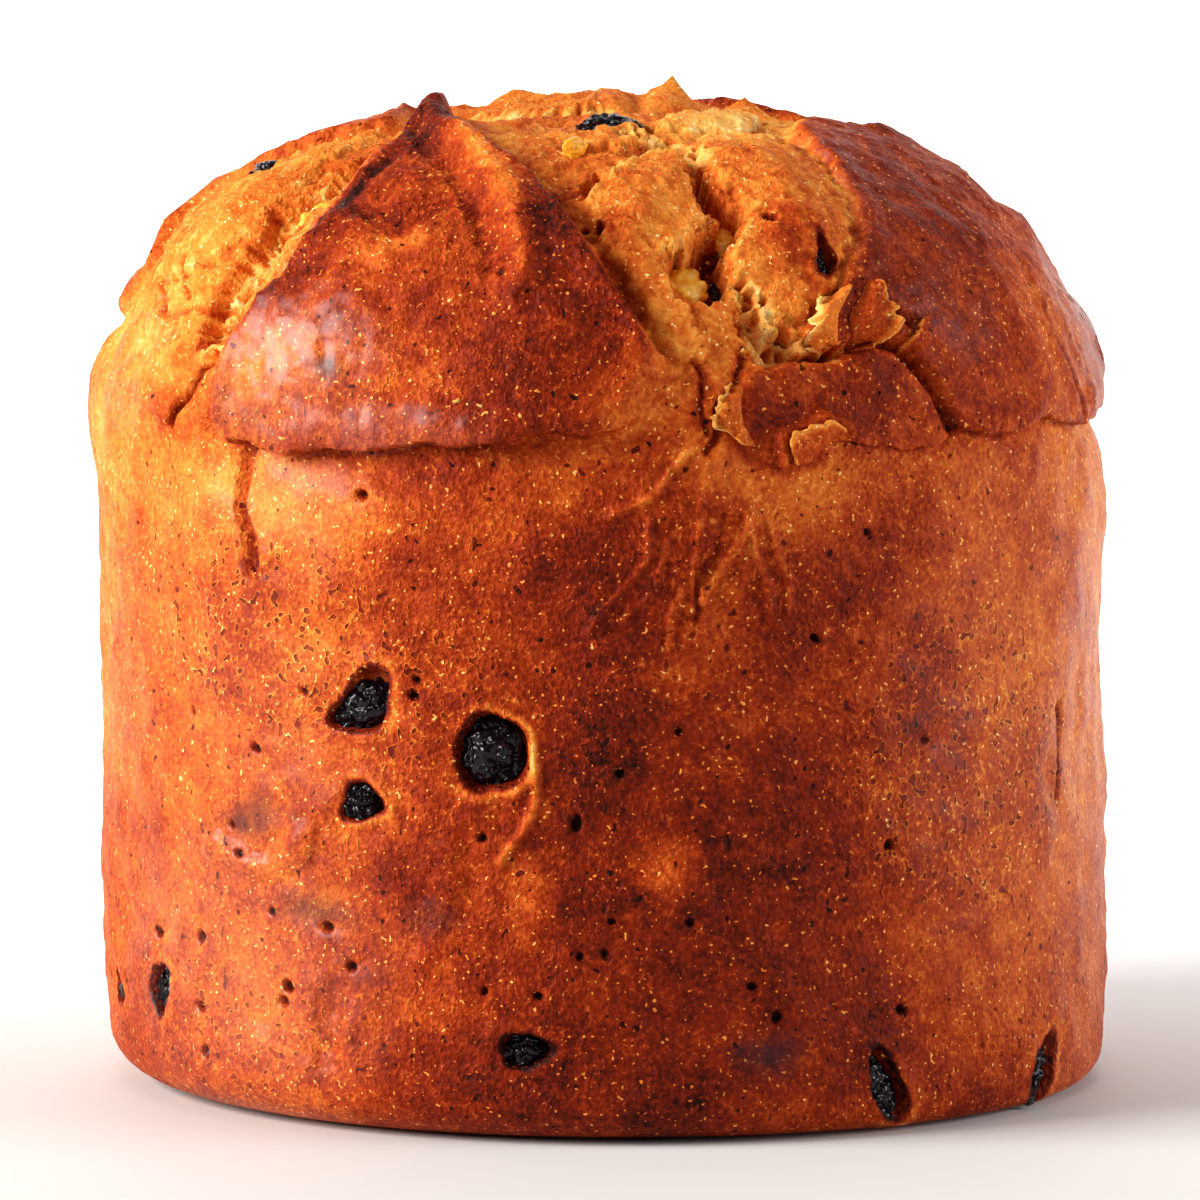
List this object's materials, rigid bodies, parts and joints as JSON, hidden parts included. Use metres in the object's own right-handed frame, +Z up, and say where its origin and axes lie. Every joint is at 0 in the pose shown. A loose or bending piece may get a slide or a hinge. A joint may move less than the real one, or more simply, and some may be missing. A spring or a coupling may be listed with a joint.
{
  "type": "panettone",
  "caption": "Tall domed sweet loaf with a torn, cross-scored top and raisins and candied peel in its crust, standing on its flat base.",
  "frame": {"origin": "middle of the flat base, on the surface that the loaf stands on", "axes": "+Z up; the side that the picture shows faces -Y; +X to the viewer's right"},
  "size_m": [0.1573, 0.1566, 0.1508],
  "materials": {
    "crust": "browned bread crust, satin, with golden torn crumb",
    "raisin": "glossy wrinkled dried fruit",
    "peel": "glossy translucent candied peel"
  },
  "bodies": {
    "root": {"loaf": "crust", "peel_amber": "peel", "peel_back_a": "peel", "peel_back_b": "peel", "peel_back_c": "peel", "peel_chunk": "peel", "peel_green": "peel", "peel_orange": "peel", "peel_shard": "peel", "raisin_back_a": "raisin", "raisin_back_b": "raisin", "raisin_back_c": "raisin", "raisin_back_d": "raisin", "raisin_back_e": "raisin", "raisin_back_f": "raisin", "raisin_back_g": "raisin", "raisin_back_h": "raisin", "raisin_back_i": "raisin", "raisin_cavity": "raisin", "raisin_crown": "raisin", "raisin_edge": "raisin", "raisin_large": "raisin", "raisin_long": "raisin", "raisin_low_left": "raisin", "raisin_right": "raisin", "raisin_shoulder": "raisin", "raisin_slot": "raisin", "raisin_small": "raisin", "raisin_split": "raisin", "raisin_window": "raisin"}
  },
  "joints": []
}
